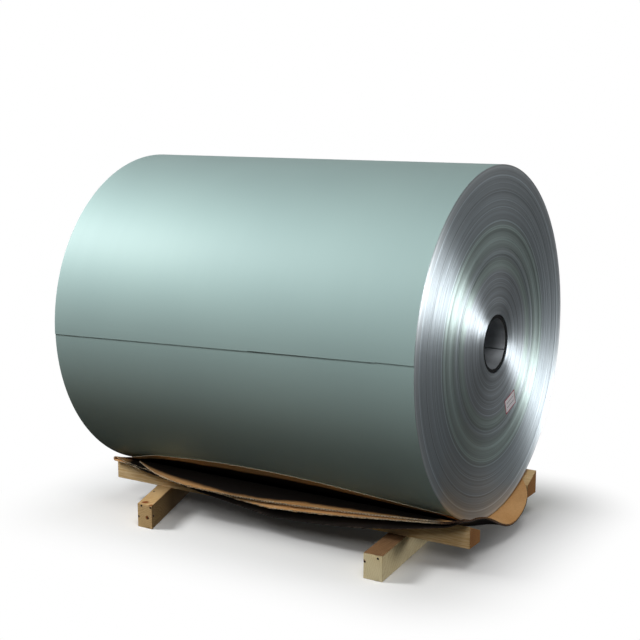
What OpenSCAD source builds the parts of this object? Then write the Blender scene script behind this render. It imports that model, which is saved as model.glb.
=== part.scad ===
// Aluminium coil on a timber skid.
// A wide coil of coated strip lies on its side, wound on a rolled steel core sleeve.
// It rests in corrugated board sheets, which two bevelled rails cradle on two cross bearers.
// Millimetres, +Z up, coil axis along X. The origin is the floor point under the
// middle of the whole object.

/* [Coil] */
// Outer diameter of the coil, over its last wrap
coil_od = 1050; // [900:1:1300]
// Width of the strip, which is the coil's length
coil_width = 1250; // [1000:1:1500]
// Height of the step at the free edge of the last wrap
tail_step = 2; // [0.6:0.1:3]
// Angle of the free edge below the horizontal at the far end
tail_low_deg = 1.1; // [0:0.1:3]
// Angle of the free edge above the horizontal at the near end
tail_high_deg = 3.2; // [0:0.1:6]

/* [Turns on the ends] */
// Radial width of one group of turns that was wound with the same side shift
group_w = 12; // [8:1:20]
// Most that a group of turns stands back from the end face
group_shift = 1.6; // [0.5:0.1:4]

/* [Core sleeve] */
// Outer diameter of the core sleeve
core_od = 174; // [150:1:220]
// Wall thickness of the core sleeve
core_wall = 12; // [6:0.5:16]
// How far each end of the sleeve lies inside the end of the coil
core_inset = 3; // [0:0.5:8]
// Width of the open seam along the rolled sleeve
seam_w = 3; // [1:0.5:8]
// Angle of the seam below the horizontal, on the rear side
seam_deg = 25; // [0:1:60]

/* [Skid rails] */
// Width of each rail
rail_w = 70; // [60:1:90]
// Height of the front rail at the middle of its bevel
front_rail_h = 50; // [40:1:60]
// Height of the rear rail at the middle of its bevel
rear_rail_h = 57; // [45:1:65]
// How far the front rail ends short of the far end of the coil
rail_inset = 26; // [0:1:60]
// How much further the rear rail, of the same length, lies towards the far end
rear_rail_back = 36; // [0:1:60]

/* [Skid bearers] */
// Width of the near bearer
near_bearer_w = 60; // [50:1:90]
// Width of the far bearer
far_bearer_w = 53; // [50:1:90]
// Height of each bearer
bearer_h = 75; // [60:1:100]
// Length of the skid across the rails, over the ends of the bearers
bearer_len = 915; // [760:1:1000]
// Distance of the near bearer's front end from the coil's middle
near_bearer_x = 472; // [400:1:520]
// Skew of the near bearer
near_bearer_deg = 6; // [0:0.5:10]
// Distance of the far bearer's front end from the coil's middle
far_bearer_x = 340; // [300:1:400]
// Skew of the far bearer
far_bearer_deg = 20; // [0:0.5:24]

/* [Corrugated board] */
// Thickness of one sheet of corrugated board, pressed by the weight of the coil
board_t = 2; // [1.5:0.5:4]
// How much wider than the coil the trough is that the sheets bend to, in radius
trough_extra = 98; // [60:1:140]
// How far the sheets and the front rail reach past the near end of the coil
board_overhang = 58; // [30:1:90]
// How far the liner sheet climbs the front of the coil at its middle, in degrees
liner_climb_deg = 42; // [34:1:48]
// How much lower the liner's front edge lies at the ends of the coil, in degrees
liner_drop_deg = 12; // [0:1:14]
// Width of the flap of the middle sheet in front of the rail
middle_flap = 58; // [30:1:80]
// Steepest slope of that flap, in degrees below the horizontal
middle_flap_deg = 28; // [15:1:45]
// Outer radius of the fold of the folded sheet
fold_r = 8; // [6:0.5:12]

/* [Hidden] */
$fn = 96;

// Clearance left between pieces that rest on each other with curved faces
seat = 0.3;
// Small overshoot of a cutter
over = 1;

coil_r = coil_od / 2;
// Radius of the wraps below the last one, which is what rests in the board
wrap_r = coil_r - tail_step;
core_r = core_od / 2;
core_len = coil_width - 2 * core_inset;

// Four layers of board lie between the coil and the bearers: the liner, the middle
// sheet and the folded sheet twice.
layers = 4;
layer_pitch = board_t + seat;
stack = layers * layer_pitch + seat;
axis_z = bearer_h + stack + wrap_r;

// The sheets lie on the bearers and bend up into a trough, which the rails' bevels hold.
trough_r = wrap_r + stack + trough_extra;
trough_z = bearer_h + trough_r;
front_deg = acos(1 - front_rail_h / trough_r);
rear_deg = acos(1 - rear_rail_h / trough_r);
front_y = -trough_r * sin(front_deg);
rear_y = trough_r * sin(rear_deg);

// The object's middle along X lies between its furthest ends.
near_end_x = coil_width / 2 + board_overhang;
far_half = far_bearer_w / 2 / cos(far_bearer_deg);
far_end_x = far_bearer_x + bearer_len * tan(far_bearer_deg) + far_half;
coil_x = (far_end_x - near_end_x) / 2;
rail_len = coil_width / 2 - rail_inset + near_end_x;

coil();
core_sleeve();
rail_front();
rail_rear();
bearer_near();
bearer_far();
board_liner();
board_middle();
board_folded();

// ---- Coil -------------------------------------------------------------------

// Puts a shape turned about Z with its middle at the origin onto the coil's axis
module on_axis() {
    translate([coil_x, 0, axis_z]) rotate([0, 90, 0]) children();
}

// The side shift of each group of turns: the winding wandered a little, never past
// the width of the strip
function side_shift(i) = group_shift * (0.5 + 0.3 * sin(i * 137) + 0.2 * sin(i * 61));

// Half of the turned outline of the coil, from the bore to the last wrap, as steps
function end_steps(r0, r1) =
    let (groups = floor((r1 - r0) / group_w))
    [for (i = [0:groups - 1], k = [0, 1])
        let (r = k == 0 ? r0 + i * group_w : (i == groups - 1 ? r1 : r0 + (i + 1) * group_w))
        [r, coil_width / 2 - (i == groups - 1 ? 0 : side_shift(i))]];

module coil() {
    bore_r = core_r + seat;
    near = end_steps(bore_r, wrap_r);
    far = [for (i = [len(near) - 1:-1:0]) [near[i][0], -near[i][1]]];
    color("#9fb3ab") {
        on_axis() rotate_extrude() polygon(concat(near, far));
        last_wrap();
    }
}

// The last wrap: a crescent that is tail_step thick at its free edge on the front side
// and runs out into the wrap below it on the rear side
module last_wrap() {
    shift = (tail_step + seat) / 2;
    ring_r = coil_r - shift;
    slant = atan(coil_r * (sin(tail_low_deg) + sin(tail_high_deg)) / coil_width);
    mid_z = coil_r * (sin(tail_high_deg) - sin(tail_low_deg)) / 2;
    difference() {
        on_axis() difference() {
            translate([0, -shift, 0]) cylinder(r = ring_r, h = coil_width, center = true);
            cylinder(r = coil_r - 4 * tail_step, h = coil_width + over, center = true);
        }
        translate([coil_x, 0, axis_z + mid_z]) rotate([0, -slant, 0])
            translate([0, 0, -coil_r]) cube([2 * coil_width, 3 * coil_r, 2 * coil_r], center = true);
    }
}

// ---- Core sleeve --------------------------------------------------------------

module core_sleeve() {
    color("#5d6163") on_axis() difference() {
        cylinder(r = core_r, h = core_len, center = true);
        cylinder(r = core_r - core_wall, h = core_len + over, center = true);
        rotate([0, 0, 90 - seam_deg]) translate([core_r - core_wall / 2, 0, 0])
            cube([3 * core_wall, seam_w, core_len + over], center = true);
    }
}

// ---- Skid ---------------------------------------------------------------------

// A rail of sawn timber with its whole top bevelled towards the coil. It ends at near_x,
// its middle lies at y, and its bevel slopes by slope, up towards the rear.
module rail(near_x, y, mid_h, slope) {
    rise = rail_w * tan(slope) / 2;
    color("#c9a678") translate([coil_x + near_x - rail_len, y, bearer_h])
        rotate([90, 0, 90]) linear_extrude(rail_len) polygon([
            [-rail_w / 2, 0], [rail_w / 2, 0], [rail_w / 2, mid_h + rise], [-rail_w / 2, mid_h - rise]
        ]);
}

module rail_front() rail(near_end_x, front_y, front_rail_h, -front_deg);
module rail_rear() rail(near_end_x - rear_rail_back, rear_y, rear_rail_h, rear_deg);

// A skewed bearer, its ends cut in line with the rails
module bearer(front_x, width, skew) {
    half = width / 2 / cos(skew);
    lean = bearer_len * tan(skew);
    color("#bf9a68") translate([coil_x, -bearer_len / 2, 0]) linear_extrude(bearer_h) polygon([
        [front_x - half, 0], [front_x + half, 0],
        [front_x - lean + half, bearer_len], [front_x - lean - half, bearer_len]
    ]);
}

module bearer_near() bearer(near_bearer_x, near_bearer_w, near_bearer_deg);
module bearer_far() bearer(-far_bearer_x, far_bearer_w, far_bearer_deg);

// ---- Corrugated board -----------------------------------------------------------

// The liner hugs the coil. Its front edge is bowed, highest at the middle of the coil.
liner_near = coil_width / 2 - 5;
liner_far = coil_width / 2 - 20;
liner_rear_deg = 34;

module board_liner() {
    inner_r = wrap_r + seat;
    reach = inner_r * sin(liner_climb_deg);
    end_reach = inner_r * sin(liner_climb_deg - liner_drop_deg);
    sagitta = reach - end_reach;
    half = coil_width / 2;
    bow_r = (half * half + sagitta * sagitta) / (2 * sagitta);
    color("#b98a5a") intersection() {
        on_axis() difference() {
            cylinder(r = inner_r + board_t, h = 2 * coil_width, center = true);
            cylinder(r = inner_r, h = 2 * coil_width + over, center = true);
        }
        translate([coil_x, bow_r - reach, 0]) cylinder(r = bow_r, h = axis_z);
        translate([coil_x - liner_far, -coil_r, 0])
            cube([liner_far + liner_near, coil_r + inner_r * sin(liner_rear_deg), axis_z]);
    }
}

// The rounded rear corner of the near end, and how far it starts from the axis
corner_start = 110;
corner_w = 128;
corner_cut = 54;
round_from = coil_width / 2 - 225;
// Rear edge of the lower sheets, past the line where they touch the rear rail
rear_flap = 50;
// Sizes of the bend over the front rail's upper edge
bend_r = 12;
to_corner = rail_w / 2 / cos(front_deg);
// Waviness of the near end: from wave_y the sheets rise off the front rail, over a width
// of rise_w, and sag the other way, over a width of sag_w
wave_y = -60;
rise_h = 32;
rise_w = 260;
sag_h = 22;
sag_w = 210;

// How far the wave has grown at x, from nothing at the end of the coil
function wave_growth(x) = pow(max(0, x - coil_width / 2) / board_overhang, 1.5);
function hump(share) = share > 0 && share < 1 ? sin(180 * share) : 0;
function wave(y) = rise_h * hump((wave_y - y) / rise_w) - sag_h * hump((y - wave_y) / sag_w);

// A point in the trough, deg round from the lowest line, h below the coil's surface there
function trough_point(deg, h) =
    let (r = trough_r - stack + h)
    [r * sin(deg), trough_z - r * cos(deg)];

// The point where the bevel ends at the front rail's upper edge, h below the coil
function edge_point(h) =
    trough_point(-front_deg, h) + to_corner * [-cos(front_deg), sin(front_deg)];

// A point round the bend over that edge, turned by deg
function bend_point(h, deg) =
    let (r = bend_r + stack - h)
    edge_point(h) + r * [sin(front_deg - deg) - sin(front_deg), cos(front_deg - deg) - cos(front_deg)];

trough_steps = 8;
bend_steps = 6;
// How far round from the lowest line each point of the trough lies, from the rear rail's
// line to the front rail's
trough_degs = [for (i = [trough_steps:-1:-trough_steps])
    i / trough_steps * (i > 0 ? rear_deg : front_deg)];

// One line across a sheet, from its rear edge over the trough to its front edge.
// slope is the front flap's slope above the horizontal, flap is its width.
function across(h, slope, flap) =
    let (turn = front_deg - slope)
    concat(
        [trough_point(rear_deg, h) + rear_flap * [cos(rear_deg), sin(rear_deg)]],
        [for (deg = trough_degs) trough_point(deg, h)],
        [for (i = [0:bend_steps]) bend_point(h, turn * i / bend_steps)],
        [bend_point(h, turn) + flap * [-cos(slope), sin(slope)]]);

// The x of the near end of a sheet at y, with its rounded rear corner
function near_end(y) =
    near_end_x - corner_cut * pow(max(0, y - corner_start) / corner_w, 2);

// How far each point of such a line lies behind the axis, the same for every layer, so
// that layers stay apart where they are drawn in or waved
station_y = concat(
    [rear_y + rear_flap * cos(rear_deg)],
    [for (deg = trough_degs) trough_r * sin(deg)],
    [for (i = [0:bend_steps + 1]) front_y - to_corner * cos(front_deg)]);

// Places a line of the sheet at x, drawn in where the near end is rounded
function place_line(line, x) = [for (k = [0:len(line) - 1])
    let (y = station_y[k],
        px = min(x, round_from)
            + max(0, x - round_from) * (near_end(y) - round_from) / (near_end_x - round_from))
    [coil_x + px, line[k][0], line[k][1] + wave_growth(px) * wave(y)]];

// Closes two grids of points, the upper and the lower face of a sheet, into a solid
module shell(upper, lower) {
    rows = len(upper);
    cols = len(upper[0]);
    count = rows * cols;
    points = concat(
        [for (row = upper) for (p = row) p],
        [for (row = lower) for (p = row) p]);
    function at(i, j) = i * cols + j;
    function quad(a, b, c, d) = [[a, b, c], [a, c, d]];
    faces = concat(
        [for (i = [0:rows - 2], j = [0:cols - 2])
            each quad(at(i, j), at(i, j + 1), at(i + 1, j + 1), at(i + 1, j))],
        [for (i = [0:rows - 2], j = [0:cols - 2])
            each quad(count + at(i, j), count + at(i + 1, j), count + at(i + 1, j + 1), count + at(i, j + 1))],
        [for (i = [0:rows - 2])
            each quad(at(i, 0), at(i + 1, 0), count + at(i + 1, 0), count + at(i, 0))],
        [for (i = [0:rows - 2])
            each quad(at(i + 1, cols - 1), at(i, cols - 1), count + at(i, cols - 1), count + at(i + 1, cols - 1))],
        [for (j = [0:cols - 2])
            each quad(at(0, j + 1), at(0, j), count + at(0, j), count + at(0, j + 1))],
        [for (j = [0:cols - 2])
            each quad(at(rows - 1, j), at(rows - 1, j + 1), count + at(rows - 1, j + 1), count + at(rows - 1, j))]);
    polyhedron(points, faces);
}

// Where the lines across a sheet stand, from its far end at x_far: close together up to
// just past the middle sheet's far end and where the sheet sticks out past the coil, and
// evenly back from the end of the coil between them. Both sheets share these places.
middle_far = -coil_width / 2 + 165;
station_step = 56;
close_step = station_step / 4;
close_n = 9;
close_end = middle_far + close_n * close_step;
end_steps_n = 3;
function stations(x_far) = concat(
    [for (x = [x_far:close_step:middle_far - close_step / 2]) x],
    [for (i = [0:close_n]) middle_far + i * close_step],
    [for (i = [floor((coil_width / 2 - close_end) / station_step - 0.5):-1:0])
        coil_width / 2 - i * station_step],
    [for (i = [1:end_steps_n]) coil_width / 2 + board_overhang * i / end_steps_n]);

// Share of the way from the deepest droop, at deep_x, to the end of a flap at end_x
function droop_share(x, deep_x, end_x, power) =
    pow(min(1, abs((x - deep_x) / (end_x - deep_x))), power);

// Slope of a flap that droops by deep degrees at deep_x and runs out to near and far
// degrees at its near and far ends
deep_x = -145;
function flap_slope(x, deep, near, near_power, far, far_x) = x > deep_x
    ? (near + deep) * droop_share(x, deep_x, near_end_x, near_power) - deep
    : (far + deep) * droop_share(x, deep_x, far_x, 3) - deep;

// The middle sheet's flap droops in front of the rail and lifts towards its ends
near_flap = 42;

function middle_slope(x) = flap_slope(x, deep = middle_flap_deg,
    near = 20, near_power = 1.35, far = 20, far_x = middle_far);
function middle_line(x, h) =
    let (narrower = middle_flap - near_flap)
    place_line(across(h, middle_slope(x),
        middle_flap - (x > deep_x ? narrower * droop_share(x, deep_x, near_end_x, 2) : 0)), x);

module board_middle() {
    h = layer_pitch + seat;
    xs = stations(middle_far);
    upper = [for (x = xs) middle_line(x, h)];
    lower = [for (x = xs) middle_line(x, h + board_t)];
    color("#c2935f") shell(upper, lower);
}

// The folded sheet lies double, with its fold at the far end. Its lower half hangs lower.
folded_far = -coil_width / 2 + 27;
fold_steps = 6;
fold_flap = 12;
fold_slope = -12;
widest_x = 60;
// The fold is pressed tight in the trough and opens to fold_r towards the front edge
tight_r = board_t + seat / 2;
open_len = 90;
bend_start = 2 * trough_steps + 2;

// How much the fold is open at point j of a line
function fold_open(j) =
    (fold_r - tight_r) * max(0, j - bend_start) / (bend_steps + 1);

function folded_slope(x, lower_half) = lower_half
    ? flap_slope(x, deep = 43, near = 16, near_power = 2.7, far = fold_slope, far_x = folded_far)
    : flap_slope(x, deep = 37, near = 18, near_power = 1.5, far = fold_slope, far_x = folded_far);

function folded_flap(x, lower_half) =
    let (widest = lower_half ? 80 : 60)
    x > widest_x
        ? widest - (widest - near_flap) * droop_share(x, widest_x, near_end_x, 2)
        : widest - (widest - fold_flap) * droop_share(x, widest_x, folded_far, 1);

// One line of the folded sheet, at depth h
function folded_line(x, h, lower_half) =
    let (line = place_line(across(h, folded_slope(x, lower_half), folded_flap(x, lower_half)), x),
        open = (lower_half ? -1 : 1) * pow(max(0, 1 - (x - folded_far) / open_len), 2))
    [for (j = [0:len(line) - 1]) line[j] + [0, 0, open * fold_open(j)]];

module board_folded() {
    top_h = 2 * layer_pitch + seat;
    low_h = top_h + layer_pitch;
    mid_h = top_h + tight_r;
    xs = stations(folded_far);
    last = len(xs) - 1;
    // A line round the fold, at radius r in the trough, turned by the share k of the steps
    ring = function (r, k)
        let (turn = 180 * k / fold_steps, line = across(mid_h - r * cos(turn), fold_slope, fold_flap))
        [for (j = [0:len(line) - 1])
            [coil_x + folded_far - (r + fold_open(j)) * sin(turn),
                line[j][0], line[j][1] + fold_open(j) * cos(turn)]];
    outer = concat(
        [for (i = [last:-1:0]) folded_line(xs[i], low_h + board_t, true)],
        [for (k = [fold_steps - 1:-1:1]) ring(tight_r, k)],
        [for (x = xs) folded_line(x, top_h, false)]);
    inner = concat(
        [for (i = [last:-1:0]) folded_line(xs[i], low_h, true)],
        [for (k = [fold_steps - 1:-1:1]) ring(tight_r - board_t, k)],
        [for (x = xs) folded_line(x, top_h + board_t, false)]);
    color("#a87c4e") shell(outer, inner);
}
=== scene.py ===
# Wide coil of coated aluminium strip on a steel core sleeve, on a timber skid.
# Metres, +Z up, coil axis along X, in the same frame as the part's source.
import math
import random
import bpy
from mathutils import Matrix, Vector


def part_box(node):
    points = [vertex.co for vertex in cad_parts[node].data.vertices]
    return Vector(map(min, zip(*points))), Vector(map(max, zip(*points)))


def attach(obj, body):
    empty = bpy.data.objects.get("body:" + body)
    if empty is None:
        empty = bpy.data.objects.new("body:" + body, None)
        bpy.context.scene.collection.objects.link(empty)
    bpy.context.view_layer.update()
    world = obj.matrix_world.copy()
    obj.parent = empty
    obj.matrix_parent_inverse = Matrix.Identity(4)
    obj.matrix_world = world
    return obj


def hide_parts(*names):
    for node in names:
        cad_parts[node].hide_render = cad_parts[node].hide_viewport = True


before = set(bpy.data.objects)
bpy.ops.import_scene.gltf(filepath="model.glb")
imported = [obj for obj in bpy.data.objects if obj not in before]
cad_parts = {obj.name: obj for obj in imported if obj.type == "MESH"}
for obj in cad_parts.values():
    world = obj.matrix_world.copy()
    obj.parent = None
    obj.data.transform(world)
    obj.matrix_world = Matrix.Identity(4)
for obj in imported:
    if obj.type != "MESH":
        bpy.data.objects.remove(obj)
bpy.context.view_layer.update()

MM = 0.001


# ---- Places read from the frame ----

coil_low, coil_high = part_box("coil")
COIL_X = (coil_low.x + coil_high.x) / 2
COIL_HALF = (coil_high.x - coil_low.x) / 2
COIL_NEAR = COIL_X + COIL_HALF
# The free edge of the last wrap stands proud on the front side only
COIL_R = -coil_low.y
WRAP_R = coil_high.y
AXIS_Z = coil_low.z + WRAP_R
AXIS = Vector((COIL_X, 0, AXIS_Z))
sleeve_low, sleeve_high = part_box("core_sleeve")
SLEEVE_R = sleeve_high.y
SLEEVE_HALF = (sleeve_high.x - sleeve_low.x) / 2
SLEEVE_WALL = 12 * MM
BEARER_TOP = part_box("bearer_near")[1].z


# ---- Modelling helpers ----

def deselect():
    """Leaves nothing selected, because an operator acts on all that is."""
    bpy.ops.object.select_all(action="DESELECT")


def activate(piece):
    """Selects one piece alone and makes it the active one."""
    deselect()
    piece.select_set(True)
    bpy.context.view_layer.objects.active = piece


def new_piece(name):
    """Names the piece just added and gives it back."""
    piece = bpy.context.active_object
    piece.name = name
    piece.data.name = name
    return piece


def edit(piece, kind="FACE"):
    """Opens a piece for editing with nothing selected."""
    activate(piece)
    bpy.ops.object.mode_set(mode="EDIT")
    bpy.ops.mesh.select_mode(type=kind)
    bpy.ops.mesh.select_all(action="DESELECT")


def pick_all():
    """While editing, selects the whole mesh."""
    bpy.ops.mesh.select_all(action="SELECT")


def pick(piece, kind, rule):
    """While editing, selects the polygons, edges or vertices that a rule names."""
    bpy.ops.object.mode_set(mode="OBJECT")
    for item in getattr(piece.data, kind):
        item.select = bool(rule(item))
    bpy.ops.object.mode_set(mode="EDIT")


def close(piece):
    """Leaves editing and puts the piece's place into its mesh."""
    bpy.ops.object.mode_set(mode="OBJECT")
    activate(piece)
    bpy.ops.object.transform_apply(location=True, rotation=True, scale=True)


def modify(piece, kind, **settings):
    """Adds a modifier with its settings and applies it."""
    activate(piece)
    modifier = piece.modifiers.new(kind, kind)
    for key, value in settings.items():
        setattr(modifier, key, value)
    bpy.ops.object.modifier_apply(modifier=modifier.name)


def mend(piece):
    """Merges doubles and turns every face outwards."""
    edit(piece)
    pick_all()
    bpy.ops.mesh.remove_doubles(threshold=0.01 * MM)
    bpy.ops.mesh.normals_make_consistent(inside=False)
    close(piece)


def smooth(piece, degrees):
    """Shades a piece smooth, except across edges sharper than an angle."""
    activate(piece)
    bpy.ops.object.shade_smooth_by_angle(angle=math.radians(degrees))


def join(pieces, name):
    """Joins pieces into the first one and names it."""
    deselect()
    for piece in pieces:
        piece.select_set(True)
    bpy.context.view_layer.objects.active = pieces[0]
    bpy.ops.object.join()
    return new_piece(name)


def hand_over(piece, materials, replaced=()):
    """Gives a finished piece its materials and body, and hides the nodes it stands for."""
    for material in materials:
        piece.data.materials.append(material)
    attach(piece, "root")
    if replaced:
        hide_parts(*replaced)


# ---- Material helpers ----

def colour(code):
    """An sRGB hex colour as linear RGBA."""
    parts = [int(code[i:i + 2], 16) / 255 for i in (1, 3, 5)]
    return [p / 12.92 if p <= 0.04045 else ((p + 0.055) / 1.055) ** 2.4 for p in parts] + [1]


def add(tree, kind, feeds=None, stops=None, **settings):
    """Adds a node. settings are its properties, feeds its inputs by name or number: each
    is a value, a node or one output of a node. stops are a ramp's places and colours."""
    node = tree.nodes.new("ShaderNode" + kind)
    for key, value in settings.items():
        setattr(node, key, value)
    for key, value in (feeds or {}).items():
        if isinstance(value, bpy.types.Node):
            value = value.outputs[0]
        if isinstance(value, bpy.types.NodeSocket):
            tree.links.new(value, node.inputs[key])
        else:
            node.inputs[key].default_value = value
    if stops:
        elements = node.color_ramp.elements
        while len(elements) < len(stops):
            elements.new(1)
        for element, (place, code) in zip(elements, stops):
            element.position = place
            element.color = colour(code)
    return node


def new_material(name):
    """A material with nothing but its output, and its Object coordinates."""
    material = bpy.data.materials.new(name)
    material.use_nodes = True
    tree = material.node_tree
    tree.nodes.clear()
    tree.nodes.new("ShaderNodeOutputMaterial")
    return material, tree, add(tree, "TexCoord").outputs["Object"]


def surface(material, shader):
    """Links the finished shader to the material's output, and gives the material back."""
    tree = material.node_tree
    tree.links.new(shader.outputs[0], tree.nodes[0].inputs["Surface"])
    return material


def seen_or_mirrored(tree):
    """1 for a ray of the camera, of gloss or of glass, and 0 for the light on the object."""
    rays = add(tree, "LightPath")
    seen = add(tree, "Math", {0: rays.outputs["Is Camera Ray"], 1: rays.outputs["Is Glossy Ray"]},
               operation="MAXIMUM")
    return add(tree, "Math", {0: seen, 1: rays.outputs["Is Transmission Ray"]},
               operation="MAXIMUM")


# ---- Materials ----

# Such board has flutes 8 to 9 mm apart. They are drawn 10 mm apart, so that they show.
FLUTE_PITCH = 10.0

LABEL_W = 75 * MM
LABEL_H = 47 * MM
LABEL_AT = AXIS + Vector((COIL_HALF, 0.119, -0.200))
LABEL_TURN = math.radians(18)

# Where the board is painted nearly black under the front of the coil, as painted shade.
# Each pair is where it starts and where it is at its full strength or gone: at the front,
# towards the rear, and in from the coil's ends.
PAINTED_SHADE_FRONT = (-0.326, -0.311)
PAINTED_SHADE_REAR = (-0.10, -0.05)
PAINTED_SHADE_FROM_FAR_END = (0.06, 0.10)
PAINTED_SHADE_FROM_NEAR_END = (0.04, 0.0)
# Where along the coil the painted shade's front edge is shaped by waist, and how far to each side
PAINTED_SHADE_MIDDLE = -0.05
PAINTED_SHADE_REACH = 0.30

# The board's cut edges are painted dark, as painted shade, over this length from the coil's near
# end
NEAR_END_EDGE_SHADE = (0.055, 0.010)


def coil_coating():
    """Polyester coil coating over aluminium strip: satin, with a broad soft sheen. Roller
    lines run along the strip, which is round the coil, and the tone drifts a little."""
    material, tree, place = new_material("coil_coated_aluminium")
    # Roller lines stand about 4 mm apart along the axis and run on round the coil
    lines = add(tree, "Mapping", {"Vector": place, "Scale": (250, 1.2, 1.2)})
    line_tone = add(tree, "TexNoise", {"Vector": lines, "Scale": 1, "Detail": 3})
    drift = add(tree, "TexNoise", {"Vector": place, "Scale": 2.2, "Detail": 2, "Roughness": 0.4})
    tone = add(tree, "Math", {0: line_tone, 1: 0.15, 2: drift}, operation="MULTIPLY_ADD")
    shade = add(tree, "ValToRGB", {"Fac": tone}, stops=[(0.35, "#B3CBC9"), (0.85, "#BAD2CF")])
    gloss = add(tree, "MapRange", {"Value": line_tone, "To Min": 0.72, "To Max": 0.78})
    shader = add(tree, "BsdfPrincipled", {
        "Base Color": shade, "Roughness": gloss, "Metallic": 0.7, "Specular IOR Level": 0.2,
        "Coat Weight": 0.34, "Coat Roughness": 0.46})
    return surface(material, shader)


def slit_edges():
    """Slit edges of several hundred wound turns of aluminium: bare bright metal in fine
    rings, so a lamp shows as two bright sectors. Groups of turns differ in tone, and a
    few rings carry a painted highlight."""
    material, tree, place = new_material("slit_aluminium_edges")
    arm = add(tree, "VectorMath", {0: place, 1: tuple(AXIS)}, operation="SUBTRACT")
    arm = add(tree, "VectorMath", {0: arm, 1: (0, 1, 1)}, operation="MULTIPLY")
    radius = add(tree, "VectorMath", {0: arm}, operation="LENGTH").outputs["Value"]
    # The slitting marks run round a point 14 mm above the axis, as in turns that have sagged
    sagged = add(tree, "VectorMath", {0: arm, 1: (0, 0, 0.014)}, operation="SUBTRACT")
    outwards = add(tree, "VectorMath", {0: sagged}, operation="NORMALIZE")
    share = add(tree, "Math", {0: radius, 1: COIL_R}, operation="DIVIDE")
    bands = add(tree, "ValToRGB", {"Fac": share}, stops=[
        (0.17, "#CAD3D9"), (0.405, "#C9D2D8"), (0.43, "#CFE0DD"), (0.475, "#CDDEDB"),
        (0.495, "#BECACE"), (0.525, "#C0CCCF"), (0.55, "#CEDFDD"), (0.655, "#CBDDDA"),
        (0.70, "#C1CCD2"), (0.93, "#C6D0D6"), (0.965, "#DCE5EA"), (1.0, "#E6EDF1")])
    # The turns are 1 mm thick, finer than shows, so the lines are drawn 5 and 20 mm apart
    fine_place = add(tree, "Math", {0: radius, 1: 200}, operation="MULTIPLY")
    fine = add(tree, "TexNoise", {"W": fine_place, "Scale": 1, "Detail": 3},
               noise_dimensions="1D")
    coarse_place = add(tree, "Math", {0: radius, 1: 50}, operation="MULTIPLY")
    coarse = add(tree, "TexNoise", {"W": coarse_place, "Scale": 1, "Detail": 1},
                 noise_dimensions="1D")
    lines = add(tree, "Math", {0: fine, 1: coarse}, operation="ADD")
    line_range = {"Value": lines, "From Min": 0.7, "From Max": 1.3}
    tone = add(tree, "MapRange", {**line_range, "To Min": 0.74, "To Max": 1.10})
    # A few rings are brightened in the colour: a painted highlight for turns that stand proud and
    # catch the light as crisp bright rings
    painted_glint_rings = add(tree, "MapRange", {"Value": fine, "From Min": 0.64, "From Max": 0.68,
                                   "To Min": 0.0, "To Max": 0.22})
    tone = add(tree, "Math", {0: tone, 1: painted_glint_rings}, operation="ADD")
    shade = add(tree, "VectorMath", {0: bands, 1: tone}, operation="MULTIPLY")
    gloss = add(tree, "MapRange", {**line_range, "To Min": 0.38, "To Max": 0.46})
    shader = add(tree, "BsdfPrincipled", {
        "Base Color": shade, "Roughness": gloss, "Metallic": 1.0,
        "Anisotropic": 0.95, "Tangent": outwards})
    return surface(material, shader)


def cut_strip():
    """The sheared free edge of the strip, painted near black: a painted shadow for the dark line
    under the step.
    """
    material, tree, place = new_material("strip_edge_painted_shadow")
    nicks = add(tree, "TexNoise", {"Vector": place, "Scale": 90, "Detail": 3})
    shade = add(tree, "ValToRGB", {"Fac": nicks}, stops=[(0.3, "#20292B"), (0.7, "#35413F")])
    shader = add(tree, "BsdfPrincipled", {"Base Color": shade, "Roughness": 0.6})
    return surface(material, shader)


def rolled_steel():
    """Hot rolled steel sleeve: dull dark grey mill scale with some bare worn metal."""
    material, tree, place = new_material("hot_rolled_steel")
    scale = add(tree, "TexNoise", {"Vector": place, "Scale": 18, "Detail": 6})
    shade = add(tree, "ValToRGB", {"Fac": scale}, stops=[(0.35, "#8A8E92"), (0.7, "#B4B8BC")])
    gloss = add(tree, "MapRange", {"Value": scale, "To Min": 0.40, "To Max": 0.65})
    grit = add(tree, "Bump", {"Height": scale, "Strength": 0.2, "Distance": 0.5 * MM})
    shader = add(tree, "BsdfPrincipled", {
        "Base Color": shade, "Roughness": gloss, "Metallic": 0.6, "Normal": grit})
    return surface(material, shader)


def black_edge():
    """Sawn end of the sleeve: near black, with fine grit."""
    material, tree, place = new_material("blackened_steel")
    grit = add(tree, "TexNoise", {"Vector": place, "Scale": 60, "Detail": 4})
    shade = add(tree, "ValToRGB", {"Fac": grit}, stops=[(0.35, "#0E0F10"), (0.7, "#1C1E1F")])
    shader = add(tree, "BsdfPrincipled", {
        "Base Color": shade, "Roughness": 0.8, "Specular IOR Level": 0.2})
    return surface(material, shader)


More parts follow.
